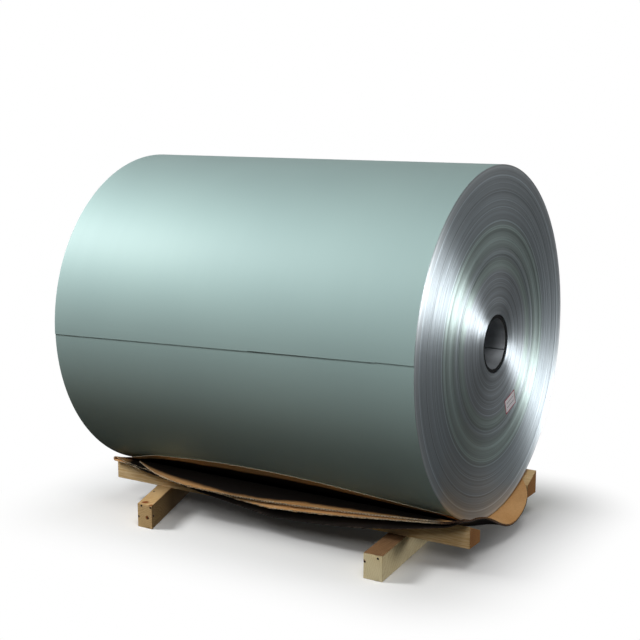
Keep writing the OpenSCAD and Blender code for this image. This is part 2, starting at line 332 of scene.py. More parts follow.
def sawn_pine(name, turn, light, dark, knots):
    """Sawn pine: growth rings that run along the piece as lines and show as arcs on its
    ends, a rough sawn face, and brown knots that fade into the wood."""
    material, tree, place = new_material(name)
    along = add(tree, "Mapping", {"Vector": place, "Rotation": (0, 0, turn)})
    wander = add(tree, "Mapping", {"Vector": along, "Scale": (3, 14, 14)})
    wander = add(tree, "TexNoise", {"Vector": wander, "Scale": 1, "Detail": 2}).outputs["Color"]
    wander = add(tree, "VectorMath", {0: wander, 1: (0, 0.035, 0.035)}, operation="MULTIPLY")
    pith = add(tree, "VectorMath", {0: along, 1: (0, 0.02, 0.11)}, operation="ADD")
    bent = add(tree, "VectorMath", {0: pith, 1: wander}, operation="ADD")
    # Growth rings about 6 mm apart
    rings = add(tree, "TexWave", {"Vector": bent, "Scale": 52, "Distortion": 1.5, "Detail": 2},
                wave_type="RINGS", rings_direction="X")
    fibre = add(tree, "Mapping", {"Vector": along, "Scale": (25, 600, 600)})
    fibre = add(tree, "TexNoise", {"Vector": fibre, "Scale": 1, "Detail": 2})
    stain = add(tree, "TexNoise", {"Vector": place, "Scale": 9, "Detail": 3})
    tone = add(tree, "Math", {0: rings, 1: 0.22, 2: fibre}, operation="MULTIPLY_ADD")
    tone = add(tree, "Math", {0: stain, 1: 0.7, 2: tone}, operation="MULTIPLY_ADD")
    shade = add(tree, "ValToRGB", {"Fac": add(tree, "Math", {0: tone, 1: 0.6},
                                             operation="MULTIPLY")},
                stops=[(0.40, light), (0.78, dark)])
    for spot, size in knots:
        off = add(tree, "VectorMath", {0: place, 1: spot}, operation="DISTANCE").outputs["Value"]
        heart = add(tree, "MapRange", {"Value": off, "From Min": 0.5 * size * MM,
                                       "From Max": size * MM, "To Min": 1, "To Max": 0})
        shade = add(tree, "Mix", {0: heart, 6: shade, 7: colour("#8A4A1E")},
                    data_type="RGBA").outputs[2]
    saw = add(tree, "Mapping", {"Vector": along, "Scale": (350, 20, 20)})
    saw = add(tree, "TexNoise", {"Vector": saw, "Scale": 1, "Detail": 2})
    rough = add(tree, "Math", {0: saw, 1: 0.5, 2: tone}, operation="MULTIPLY_ADD")
    relief = add(tree, "Bump", {"Height": rough, "Strength": 0.6, "Distance": 0.8 * MM})
    shader = add(tree, "BsdfPrincipled", {
        "Base Color": shade, "Roughness": 0.8, "Specular IOR Level": 0.3, "Normal": relief})
    return surface(material, shader)


def kraft_paper(name, bow, waist):
    """Brown kraft facing of corrugated board: matt, cloudy with paper fibres, and the
    flutes just showing through as faint lines. Where it lies under the front of the coil
    it is painted nearly black, as painted shade from the coil. bow is how much the
    painted shade's front edge curves back towards the ends, and waist how far it reaches
    out at the middle."""
    material, tree, place = new_material(name)
    fibre = add(tree, "TexNoise", {"Vector": place, "Scale": 160, "Detail": 4})
    cloud = add(tree, "TexNoise", {"Vector": place, "Scale": 9, "Detail": 3})
    tone = add(tree, "Math", {0: fibre, 1: 0.5, 2: cloud}, operation="MULTIPLY_ADD")
    shade = add(tree, "ValToRGB", {"Fac": tone}, stops=[(0.5, "#CC965C"), (1.0, "#E2B078")])
    axes = add(tree, "SeparateXYZ", {"Vector": place})
    spot = add(tree, "Math", {0: cloud, 1: 0.02, 2: axes.outputs["Y"]},
               operation="MULTIPLY_ADD")
    along = add(tree, "Math", {0: axes.outputs["X"], 1: COIL_X}, operation="SUBTRACT")
    curve = add(tree, "Math", {0: along, 1: 2.0}, operation="POWER")
    spot = add(tree, "Math", {0: curve, 1: -bow, 2: spot}, operation="MULTIPLY_ADD")
    off = add(tree, "Math", {0: along, 1: PAINTED_SHADE_MIDDLE}, operation="SUBTRACT")
    off = add(tree, "Math", {0: off}, operation="ABSOLUTE")
    reach = add(tree, "MapRange", {"Value": off, "From Min": 0.0, "From Max": PAINTED_SHADE_REACH,
                                   "To Min": waist, "To Max": 0.0},
                interpolation_type="SMOOTHSTEP")
    spot = add(tree, "Math", {0: spot, 1: reach}, operation="ADD")
    painted_shade = add(tree, "MapRange", {"Value": spot, "From Min": PAINTED_SHADE_FRONT[0],
                                  "From Max": PAINTED_SHADE_FRONT[1]},
               interpolation_type="SMOOTHSTEP")
    for value, start, end, low, high in (
            (spot, PAINTED_SHADE_REAR[0], PAINTED_SHADE_REAR[1], 1.0, 0.0),
            (along, PAINTED_SHADE_FROM_FAR_END[0] - COIL_HALF, PAINTED_SHADE_FROM_FAR_END[1] - COIL_HALF, 0.0, 1.0),
            (along, COIL_HALF - PAINTED_SHADE_FROM_NEAR_END[0], COIL_HALF - PAINTED_SHADE_FROM_NEAR_END[1], 1.0, 0.0)):
        kept = add(tree, "MapRange", {"Value": value, "From Min": start, "From Max": end,
                                      "To Min": low, "To Max": high})
        painted_shade = add(tree, "Math", {0: painted_shade, 1: kept}, operation="MULTIPLY")
    # Painted shade: the board is darkened nearly black where it lies in the coil's shadow
    shade = add(tree, "Mix", {0: painted_shade, 6: shade, 7: colour("#140E09")},
                data_type="RGBA").outputs[2]
    # A Wave texture of scale 1 repeats every 314 mm
    flutes = add(tree, "TexWave", {"Vector": place, "Scale": 0.314 / (FLUTE_PITCH * MM)},
                 wave_type="BANDS", bands_direction="X")
    relief = add(tree, "Bump", {"Height": flutes, "Strength": 0.25, "Distance": 0.3 * MM})
    shader = add(tree, "BsdfPrincipled", {
        "Base Color": shade, "Roughness": 0.85, "Specular IOR Level": 0.25, "Normal": relief})
    return surface(material, shader)


def cut_paper():
    """Cut and torn edge of the board's papers: paler, with loose fibres, and painted dark
    as shade where the sheets stand out past the near end of the coil."""
    material, tree, place = new_material("cut_board_edge")
    fibre = add(tree, "TexNoise", {"Vector": place, "Scale": 260, "Detail": 3})
    shade = add(tree, "ValToRGB", {"Fac": fibre}, stops=[(0.35, "#E6CCA2"), (0.65, "#FFF3DA")])
    along = add(tree, "SeparateXYZ", {"Vector": place}).outputs["X"]
    painted_edge_shade = add(tree, "MapRange", {"Value": along, "From Min": COIL_NEAR - NEAR_END_EDGE_SHADE[0],
                                    "From Max": COIL_NEAR - NEAR_END_EDGE_SHADE[1]})
    # Painted shade: the cut edges turn dark brown towards the near end
    shade = add(tree, "Mix", {0: painted_edge_shade, 6: shade, 7: colour("#46352A")},
                data_type="RGBA").outputs[2]
    shader = add(tree, "BsdfPrincipled", {"Base Color": shade, "Roughness": 0.9})
    return surface(material, shader)


def painted_shade_board(name, tone):
    """Board painted nearly black, still matt: painted shade for sheets that lie in the coil's
    shadow.
    """
    material, tree, place = new_material(name)
    cloud = add(tree, "TexNoise", {"Vector": place, "Scale": 14, "Detail": 4})
    shade = add(tree, "ValToRGB", {"Fac": cloud}, stops=[(0.35, "#120D09"), (0.75, tone)])
    fibre = add(tree, "TexNoise", {"Vector": place, "Scale": 160, "Detail": 4})
    relief = add(tree, "Bump", {"Height": fibre, "Strength": 0.25, "Distance": 0.3 * MM})
    shader = add(tree, "BsdfPrincipled", {
        "Base Color": shade, "Roughness": 0.8, "Specular IOR Level": 0.2, "Normal": relief})
    return surface(material, shader)


def sticker():
    """Coated paper sticker: white with a thin red border and two grey rules."""
    material, tree, place = new_material("printed_paper_sticker")
    local = add(tree, "Mapping", {"Vector": place, "Location": tuple(-LABEL_AT)})
    local = add(tree, "Mapping", {"Vector": local, "Rotation": (-LABEL_TURN, 0, 0)})
    axes = add(tree, "SeparateXYZ", {"Vector": local})
    wide = add(tree, "Math", {0: axes.outputs["Y"]}, operation="ABSOLUTE")
    high = add(tree, "Math", {0: axes.outputs["Z"]}, operation="ABSOLUTE")
    border_w = 3 * MM
    side = add(tree, "Math", {0: wide, 1: LABEL_W / 2 - border_w}, operation="GREATER_THAN")
    edge = add(tree, "Math", {0: high, 1: LABEL_H / 2 - border_w}, operation="GREATER_THAN")
    border = add(tree, "Math", {0: side, 1: edge}, operation="MAXIMUM")
    # The rules stop 12 mm from the sides, and lie 7 mm above and below the middle
    within = add(tree, "Math", {0: wide, 1: LABEL_W / 2 - 12 * MM}, operation="LESS_THAN")
    rule = add(tree, "Math", {0: high, 1: 7 * MM, 2: 1.2 * MM}, operation="COMPARE")
    rule = add(tree, "Math", {0: rule, 1: within}, operation="MULTIPLY")
    shade = add(tree, "Mix", {0: rule, 6: colour("#F6F1F4"), 7: colour("#9A98A0")},
                data_type="RGBA").outputs[2]
    shade = add(tree, "Mix", {0: border, 6: shade, 7: colour("#B5304A")},
                data_type="RGBA").outputs[2]
    shader = add(tree, "BsdfPrincipled", {"Base Color": shade, "Roughness": 0.5})
    return surface(material, shader)


def nail_steel():
    """Bright wire nails, gone dull and slightly rusty."""
    material, tree, place = new_material("rusty_wire_nail")
    rust = add(tree, "TexNoise", {"Vector": place, "Scale": 300, "Detail": 3})
    shade = add(tree, "ValToRGB", {"Fac": rust}, stops=[(0.4, "#2B2624"), (0.65, "#5A3A28")])
    shader = add(tree, "BsdfPrincipled", {
        "Base Color": shade, "Roughness": 0.6, "Metallic": 0.5})
    return surface(material, shader)


coating = coil_coating()
edges = slit_edges()
strip_edge = cut_strip()
steel = rolled_steel()
dark_steel = black_edge()
# Each kraft facing is painted nearly black where it lies under the front of the coil: painted shade
facing = kraft_paper("kraft_facing_paper", 0.0, 0.003)
middle_facing = kraft_paper("kraft_middle_paper", 0.0, 0.015)
liner_facing = kraft_paper("kraft_liner_paper", 0.228, -0.010)
cut_edge = cut_paper()
# Board and its cut edges painted nearly black: painted shade for the folded sheet's lower leaf
painted_shade_facing = painted_shade_board("board_painted_shade", "#1F160F")
painted_shade_board_edge = painted_shade_board("board_edge_painted_shade", "#75645A")


# ---- Coil ----

random.seed(12)
FACETS = 256


def drum(name, radius, length, centre):
    """A drum with its axis along X and two flat ends."""
    bpy.ops.mesh.primitive_cylinder_add(
        vertices=FACETS, radius=radius, depth=length, end_fill_type="NGON",
        location=centre, rotation=(0, math.pi / 2, 0))
    piece = new_piece(name)
    close(piece)
    return piece


def open_end(piece, side):
    """Opens a drum for editing with its flat end on one side selected."""
    edit(piece)
    pick(piece, "polygons", lambda f: len(f.vertices) > 4 and f.normal.x * side > 0)


def bridge_ends(piece):
    """Gives a drum with two open ends the wall of its bore, and stays in editing."""
    edit(piece, "EDGE")
    bpy.ops.mesh.select_non_manifold()
    bpy.ops.mesh.bridge_edge_loops()


def wound_body():
    """The wound turns: a drum whose two ends are inset ring by ring, each group of turns
    set back a little, down to the bore."""
    piece = drum("wound_turns", WRAP_R, 2 * COIL_HALF, AXIS)
    groups = 56
    step = 0.25 * MM
    bore_gap = 0.3 * MM
    skin_depth = 0.1 * MM
    weights = [random.uniform(0.4, 1.6) for _ in range(groups)]
    shifts = [0] + [random.uniform(0.1, 0.8) for _ in range(groups - 1)]
    left = WRAP_R - SLEEVE_R - bore_gap - groups * step
    for side in (-1, 1):
        open_end(piece, side)
        depth = 0
        for weight, shift in zip(weights, shifts):
            target = -shift * MM
            bpy.ops.mesh.inset(thickness=step, depth=target - depth)
            bpy.ops.mesh.inset(thickness=left * weight / sum(weights), depth=0)
            depth = target
        bpy.ops.mesh.delete(type="FACE")
        close(piece)
    bridge_ends(piece)
    close(piece)
    mend(piece)
    smooth(piece, 30)
    hand_over(piece, [coating, edges], ["coil"])
    for face in piece.data.polygons:
        arm = math.hypot(face.center.y, face.center.z - AXIS_Z)
        skin = arm > WRAP_R - skin_depth and abs(face.normal.x) < 0.5
        face.material_index = 0 if skin else 1


def last_wrap():
    """The last wrap: a thin crescent over the top of the coil. It ends at its free edge,
    which slopes a little along the front, and runs out into the wrap below at the rear."""
    tail_step = COIL_R - WRAP_R
    shift = tail_step / 2 + 0.2 * MM
    ring_r = COIL_R - shift
    ring_w = 5 * MM
    set_back = 0.4 * MM
    low = COIL_R * math.sin(math.radians(1.1))
    high = COIL_R * math.sin(math.radians(3.2))
    above_edge = AXIS_Z + high + 1 * MM
    piece = drum("last_wrap", ring_r, 2 * (COIL_HALF - set_back), AXIS + Vector((0, -shift, 0)))
    for side in (-1, 1):
        open_end(piece, side)
        bpy.ops.mesh.inset(thickness=ring_w, depth=0)
        bpy.ops.mesh.delete(type="FACE")
        close(piece)
    bridge_ends(piece)
    pick_all()
    bpy.ops.mesh.bisect(
        plane_co=AXIS + Vector((0, 0, (high - low) / 2)),
        plane_no=Vector((-(high + low) / (2 * COIL_HALF), 0, 1)).normalized(),
        use_fill=True, clear_inner=True)
    close(piece)
    mend(piece)
    place = [point.co.copy() for point in piece.data.vertices]
    edit(piece, "EDGE")
    pick(piece, "edges", lambda e: all(
        place[i].y < -ring_r * 0.999 and place[i].z < above_edge for i in e.vertices)
        and abs(place[e.vertices[0]].x - place[e.vertices[1]].x) > COIL_HALF)
    bpy.ops.mesh.bevel(offset=1.4 * MM, segments=2, affect="EDGES")
    close(piece)
    smooth(piece, 20)
    hand_over(piece, [coating, edges, strip_edge])
    for face in piece.data.polygons:
        if abs(face.normal.x) > 0.9:
            face.material_index = 1
        # Painted shadow: the down-facing faces below the free edge get the near black edge material
        elif face.center.z < above_edge and face.normal.z < -0.2:
            face.material_index = 2


def core_sleeve():
    """The core sleeve: a chamfered strip of plate, rolled almost to a full circle with a
    spin, so that its open seam stays."""
    middle_r = SLEEVE_R - SLEEVE_WALL / 2
    seam = 3 * MM / middle_r
    seam_at = math.radians(-25)
    bpy.ops.mesh.primitive_plane_add(size=1, location=(0, middle_r, 0))
    piece = new_piece("core_sleeve_rolled")
    piece.scale = (2 * SLEEVE_HALF, SLEEVE_WALL, 1)
    close(piece)
    edit(piece, "VERT")
    pick_all()
    bpy.ops.mesh.bevel(offset=1.5 * MM, segments=2, affect="VERTICES")
    bpy.ops.transform.translate(value=AXIS)
    pick_all()
    bpy.ops.mesh.spin(steps=128, angle=2 * math.pi - seam, center=AXIS, axis=(1, 0, 0))
    close(piece)
    mend(piece)
    edit(piece)
    pick_all()
    bpy.ops.transform.rotate(value=-(seam_at + seam / 2), orient_axis="X", center_override=AXIS)
    close(piece)
    smooth(piece, 35)
    hand_over(piece, [steel, dark_steel], ["core_sleeve"])
    for face in piece.data.polygons:
        if abs(face.normal.x) > 0.5:
            face.material_index = 1


def end_label():
    """A paper sticker on the near end. It bridges the shifted turns, so it bows a little."""
    bpy.ops.mesh.primitive_grid_add(x_subdivisions=12, y_subdivisions=8, size=1)
    piece = new_piece("end_label")
    piece.scale = (LABEL_H, LABEL_W, 1)
    piece.rotation_euler = (0, math.pi / 2, 0)
    close(piece)
    edit(piece)
    pick_all()
    paper, rise = 0.2 * MM, 0.25 * MM
    bpy.ops.mesh.extrude_region_move(TRANSFORM_OT_translate={"value": (paper, 0, 0)})
    close(piece)
    for point in piece.data.vertices:
        bow = math.sin(point.co.y / LABEL_W * 9) * math.cos(point.co.z / LABEL_H * 4)
        point.co.x += rise * bow
    mend(piece)
    piece.rotation_euler = (LABEL_TURN, 0, 0)
    piece.location = LABEL_AT
    close(piece)
    smooth(piece, 40)
    hand_over(piece, [sticker()])


wound_body()
last_wrap()
core_sleeve()
end_label()


# ---- Skid ----

def sawn_timber(name, low, high, materials, node, slope=0.0, lean=0.0, darker=None):
    """A length of sawn timber: a block drawn to size, its top bevelled to a slope or its
    ends skewed by lean, its arrises broken, and its faces a little uneven, but never past
    the node's box. darker is the rule for the faces with the second material."""
    bpy.ops.mesh.primitive_cube_add(size=1, location=(low + high) / 2)
    piece = new_piece(name)
    piece.scale = high - low
    close(piece)
    if slope:
        edit(piece, "VERT")
        middle = (low.y + high.y) / 2
        pick(piece, "vertices", lambda v: v.co.z > (low.z + high.z) / 2
             and (v.co.y - middle) * slope < 0)
        bpy.ops.transform.translate(value=(0, 0, -abs(slope) * (high.y - low.y)))
        close(piece)
    if lean:
        edit(piece, "VERT")
        pick(piece, "vertices", lambda v: v.co.y > 0)
        bpy.ops.transform.translate(value=(-lean, 0, 0))
        close(piece)
    edit(piece, "EDGE")
    pick_all()
    bpy.ops.mesh.bevel(offset=1.6 * MM, segments=2, affect="EDGES")
    pick_all()
    bpy.ops.mesh.subdivide(number_cuts=9)
    pick_all()
    bpy.ops.transform.vertex_random(offset=0.35 * MM, uniform=0.6, normal=0.0, seed=7)
    close(piece)
    smooth(piece, 30)
    hand_over(piece, materials, [node])
    node_low, node_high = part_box(node)
    for point in piece.data.vertices:
        point.co = [min(max(c, a), b) for c, a, b in zip(point.co, node_low, node_high)]
    if darker:
        for face in piece.data.polygons:
            face.material_index = int(darker(face.normal))


FRONT_SLOPE = math.radians(22.97)
REAR_SLOPE = math.radians(24.55)
NEAR_SKEW = math.radians(6)
FAR_SKEW = math.radians(20)

rail_pine = sawn_pine("sawn_pine_rail", 0, "#F6DAA8", "#D2A86E", [
    (Vector((-0.40, -0.285, 0.110)), 12), (Vector((0.22, -0.283, 0.095)), 10),
    (Vector((0.60, -0.27, 0.10)), 9), (Vector((0.10, 0.30, 0.12)), 12)])
# The rails' end faces get this darker, browner pine
dark_pine = sawn_pine("darker_end_pine", 0, "#B07E4A", "#84562C", [])
# Painted shade: the near bearer's top gets this darker, browner pine for the shade of the rail and
# boards above it
pine_top_painted_shade = sawn_pine("pine_top_painted_shade", math.pi / 2 + NEAR_SKEW, "#96704C", "#664A2E", [])
near_pine = sawn_pine("sawn_pine_near_bearer", math.pi / 2 + NEAR_SKEW, "#FFF0C4", "#E6CE9A", [
    (Vector((0.452, -0.4575, 0.052)), 5), (Vector((0.45, -0.30, 0.02)), 11),
    (Vector((0.49, 0.1, 0.05)), 12)])
far_pine = sawn_pine("sawn_pine_far_bearer", math.pi / 2 + FAR_SKEW, "#E6C590", "#BE935A", [
    (Vector((-0.345, -0.437, 0.075)), 15), (Vector((-0.312, -0.45, 0.072)), 9),
    (Vector((-0.35, -0.30, 0.075)), 9), (Vector((-0.322, -0.4575, 0.035)), 8)])

for name, node, slope in (("front_rail", "rail_front", -math.tan(FRONT_SLOPE)),
                          ("rear_rail", "rail_rear", math.tan(REAR_SLOPE))):
    low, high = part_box(node)
    sawn_timber(name, low, high, [rail_pine, dark_pine], node, slope=slope,
                darker=lambda way: abs(way.x) > 0.8)
for name, node, skew, materials, darker in (
        # The near bearer's top takes the second, darker pine as painted shade
        ("near_bearer", "bearer_near", NEAR_SKEW, [near_pine, pine_top_painted_shade],
         lambda way: way.z > 0.8),
        ("far_bearer", "bearer_far", FAR_SKEW, [far_pine], None)):
    low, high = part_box(node)
    lean = (high.y - low.y) * math.tan(skew)
    sawn_timber(name, Vector((low.x + lean, low.y, low.z)), high, materials,
                node, lean=lean, darker=darker)


def nails():
    """Nail heads where the rails are nailed to the bearers, and a few old ones."""
    bpy.ops.mesh.primitive_cylinder_add(vertices=14, radius=3.2 * MM, depth=1.2 * MM)
    first = new_piece("nail")
    edit(first)
    pick(first, "polygons", lambda f: f.normal.z > 0.9)
    bpy.ops.mesh.inset(thickness=1.0 * MM, depth=0.4 * MM)
    close(first)
    smooth(first, 40)
    heads = []
    up = (0, 0, 0)
    front = (math.pi / 2, 0, 0)
    for x, y, z, turn in (
            (-432, -254, 75, up), (-409, -254.5, 75, up), (-390, -340, 75, up),
            (-343.5, -457.5, 70, front), (-308, -457.5, 69, front), (-355, -457.5, 34, front),
            (-318, -457.5, 34, front), (-297, -457.5, 45, front),
            (455, -457.5, 50, front), (497, -457.5, 66, front)):
        copy = first.copy()
        copy.data = first.data.copy()
        bpy.context.scene.collection.objects.link(copy)
        copy.rotation_euler = turn
        copy.location = Vector((x, y, z)) * MM
        heads.append(copy)
    bpy.data.objects.remove(first)
    piece = join(heads, "nail_heads")
    close(piece)
    hand_over(piece, [nail_steel()])


nails()


# ---- Corrugated board ----
# The sheets are laid by the same rules as in the part's source: in millimetres, across
# in y and z, with x from the middle of the coil.

# Board and the gap between curved faces
SEAT = 0.3
BOARD = 2.0
PITCH = BOARD + SEAT
STACK = 4 * PITCH + SEAT
FACING_PAPER = 1.0
FLUTE_PAPER = 0.7
LINER = 1.7
# The facings' middles, and how far the flutes swing, as shares of the board's thickness
FACING_AT = (0.14, 0.86)
FLUTE_SWING = 0.36
LINES_PER_FLUTE = 6
# A torn front edge falls short or stands out by up to this much
TORN = (-2.4, 1.2)

# The trough in which the coil lies, and the rails under it
TROUGH_EXTRA = 98
TROUGH_R = WRAP_R / MM + STACK + TROUGH_EXTRA
TROUGH_Z = BEARER_TOP / MM + TROUGH_R
FRONT_Y = -TROUGH_R * math.sin(FRONT_SLOPE)
REAR_Y = TROUGH_R * math.sin(REAR_SLOPE)
RAIL_W = 70.0
TO_CORNER = RAIL_W / 2 / math.cos(FRONT_SLOPE)
REAR_FLAP = 50.0
BEND_R = 12.0

# The sheets along the coil: their near end, its rounded rear corner and its waves
HALF_W = COIL_HALF / MM
OVERHANG = 58.0
NEAR_END = HALF_W + OVERHANG - 0.5
ROUND_FROM = HALF_W - 225
CORNER_START = 110
CORNER_W = 128
CORNER_CUT = 54
WAVE_Y = -60
RISE_H, RISE_W = 32, 260
SAG_H, SAG_W = 22, 210

# The front flaps hang deepest at DEEP_X
DEEP_X = -145.0
NEAR_FLAP = 42.0
FAR_FLAP = 4.0

# Lines across a sheet: on each side of the trough, round the bend and on the front flap
TROUGH_STEPS = 10
BEND_STEPS = 6
FLAP_STEPS = 4


def trough_point(turn, depth):
    """A point in the trough, turned from its lowest line, depth below the coil there."""
    radius = TROUGH_R - STACK + depth
    return Vector((radius * math.sin(turn), TROUGH_Z - radius * math.cos(turn)))


def bend_point(depth, turn):
    """A point round the bend over the front rail's upper edge."""
    edge = trough_point(-FRONT_SLOPE, depth) + TO_CORNER * Vector(
        (-math.cos(FRONT_SLOPE), math.sin(FRONT_SLOPE)))
    radius = BEND_R + STACK - depth
    return edge + radius * Vector((math.sin(FRONT_SLOPE - turn) - math.sin(FRONT_SLOPE),
                                   math.cos(FRONT_SLOPE - turn) - math.cos(FRONT_SLOPE)))


def hump(share):
    """One half wave, as share goes from 0 to 1."""
    return math.sin(math.pi * share) if 0 < share < 1 else 0


def wave(y):
    """The near end rises in front of WAVE_Y, where the rail holds it, and sags behind."""
    return RISE_H * hump((WAVE_Y - y) / RISE_W) - SAG_H * hump((y - WAVE_Y) / SAG_W)


def near_end(y):
    """Where a sheet ends at y: its rear corner is rounded off."""
    return NEAR_END - CORNER_CUT * (max(0, y - CORNER_START) / CORNER_W) ** 2


def eased(share):
    """0 to 1 with a soft start and a soft end."""
    return share * share * (3 - 2 * share)


def across(x, depth, slope, flap):
    """One line across a sheet at x, from its rear edge over the trough to its front edge,
    as points in metres. slope is the front flap's slope and flap its width."""
    turn = FRONT_SLOPE - slope
    out = Vector((-math.cos(slope), math.sin(slope)))
    rear = Vector((math.cos(REAR_SLOPE), math.sin(REAR_SLOPE)))
    line = [(trough_point(REAR_SLOPE, depth) + REAR_FLAP * rear,
             REAR_Y + REAR_FLAP * math.cos(REAR_SLOPE))]
    for i in range(TROUGH_STEPS, -TROUGH_STEPS - 1, -1):
        lean = i / TROUGH_STEPS * (REAR_SLOPE if i > 0 else FRONT_SLOPE)
        line.append((trough_point(lean, depth), TROUGH_R * math.sin(lean)))
    station = FRONT_Y - TO_CORNER * math.cos(FRONT_SLOPE)
    for i in range(BEND_STEPS + 1):
        line.append((bend_point(depth, turn * i / BEND_STEPS), station))
    for i in range(1, FLAP_STEPS + 1):
        line.append((bend_point(depth, turn) + flap * i / FLAP_STEPS * out, station))
    spots = []
    for point, y in line:
        px = x
        if x > ROUND_FROM:
            drawn_in = (near_end(y) - ROUND_FROM) / (NEAR_END - ROUND_FROM)
            px = ROUND_FROM + (x - ROUND_FROM) * drawn_in
        grown = (max(0, px - HALF_W) / OVERHANG) ** 1.5
        spots.append(Vector((COIL_X / MM + px, point.x, point.y + grown * wave(y))) * MM)
    return spots


def droop(x, end_x, power):
    """0 at DEEP_X, rising to 1 at end_x."""
    return min(1, abs((x - DEEP_X) / (end_x - DEEP_X))) ** power


def flap_slope(x, deep, near, near_power, far, far_x):
    """Slope of a flap, from degrees: it hangs by deep at DEEP_X, and near_power shapes its
    run up to near at the near end. On the other side it runs up to far at far_x."""
    if x > DEEP_X:
        return math.radians((near + deep) * droop(x, NEAR_END, near_power) - deep)
    return math.radians((far + deep) * droop(x, far_x, 3) - deep)


def laid(name, rows, thickness, face=facing, painted_shade_rows=()):
    """Bends a flat sheet of paper so that its points lie at the rows of spots, and gives
    it its thickness. The rows named by the last argument are painted nearly black, as
    painted shade. Solidify keeps the grid's points in order and adds its copies after
    them, so a face's row can be told."""
    bpy.ops.mesh.primitive_grid_add(
        x_subdivisions=len(rows[0]) - 1, y_subdivisions=len(rows) - 1, size=1)
    piece = new_piece(name)
    piece.data.vertices.foreach_set("co", [c for row in rows for spot in row for c in spot])
    piece.data.update()
    for material in (face, cut_edge, painted_shade_facing, painted_shade_board_edge):
        piece.data.materials.append(material)
    modify(piece, "SOLIDIFY", thickness=thickness * MM, offset=0, material_offset_rim=1)
    width = len(rows[0])
    points = len(rows) * width
    for polygon in piece.data.polygons:
        # Faces on the named rows get the painted shade materials
        if min(point % points for point in polygon.vertices) // width in painted_shade_rows:
            is_edge = polygon.material_index == 1 or face == cut_edge
            polygon.material_index = 3 if is_edge else 2
    return piece


def spread(outer, inner, swell):
    """Lets a sheet swell to its full thickness on its front flap, where nothing presses
    it: the inner face moves away from the outer one by swell, a share of the board."""
    rows = []
    first = len(outer[0]) - FLAP_STEPS - 2
    for top, low, more in zip(outer, inner, swell):
        rows.append([a + (b - a) * (1 + more * min(1, max(0, k - first) / FLAP_STEPS))
                     for k, (a, b) in enumerate(zip(top, low))])
    return rows


def corrugated(name, outer, inner, swell, along, face=facing, painted_shade_rows=()):
    """A corrugated sheet: two facing papers and the fluted paper between them. The flutes
    show along the front flap, and run on under the coil where they are pressed flat.
    The lines named by the last argument are painted nearly black, as painted shade."""
    inner = spread(outer, inner, swell)
    sheets = []
    for share in FACING_AT:
        rows = [[a.lerp(b, share) for a, b in zip(top, low)] for top, low in zip(outer, inner)]
        for row in rows:
            tip = row[-1] - row[-2]
            row[-1] = row[-1] + tip.normalized() * random.uniform(*TORN) * MM
        sheets.append(laid(name + "_facing", rows, FACING_PAPER, face, painted_shade_rows))
    start = len(outer[0]) - FLAP_STEPS - 2
    rows = []
    painted_shade_flutes = set()
    lines = list(zip(along, outer, inner))
    for line, ((u0, top0, low0), (u1, top1, low1)) in enumerate(zip(lines[:-1], lines[1:])):
        count = max(1, round((u1 - u0) / FLUTE_PITCH * LINES_PER_FLUTE))
        if line in painted_shade_rows:
            painted_shade_flutes.update(range(len(rows), len(rows) + count))
        for i in range(count):
            part = i / count
            turn = 2 * math.pi * (u0 + (u1 - u0) * part) / FLUTE_PITCH
            share = 0.5 + FLUTE_SWING * math.sin(turn)
            rows.append([a.lerp(c, part).lerp(b.lerp(d, part), share)
                         for a, b, c, d in zip(top0[start:], low0[start:],
                                               top1[start:], low1[start:])])
    sheets.append(laid(name + "_flutes", rows, FLUTE_PAPER, cut_edge, painted_shade_flutes))
    piece = join(sheets, name)
    smooth(piece, 40)
    return piece


def stations(start, end, step):
    """Evenly spaced places from start to end, about a step apart."""
    count = round(abs(end - start) / step)
    return [start + (end - start) * i / count for i in range(count + 1)]


def middle_sheet():
    """The middle sheet: one flat board, bent into the trough and over the front rail."""
    depth = PITCH + SEAT
    far_x = -HALF_W + 165
    widest = 58
    pressed, loose = 0.3, 2.5
    outer, inner, swell = [], [], []
    xs = stations(far_x, NEAR_END, 6.5)
    for x in xs:
        slope = flap_slope(x, 27, 20, 1.7, 20, far_x)
        flap = widest - ((widest - NEAR_FLAP) * droop(x, NEAR_END, 2) if x > DEEP_X else 0)
        outer.append(across(x, depth, slope, flap))
        inner.append(across(x, depth + BOARD, slope, flap))
        lift = droop(x, NEAR_END if x > DEEP_X else far_x, 2)
        swell.append((loose - pressed) * (1 - lift) + pressed)
    piece = corrugated("middle_sheet", outer, inner, swell, xs, middle_facing)
    hand_over(piece, [], ["board_middle"])


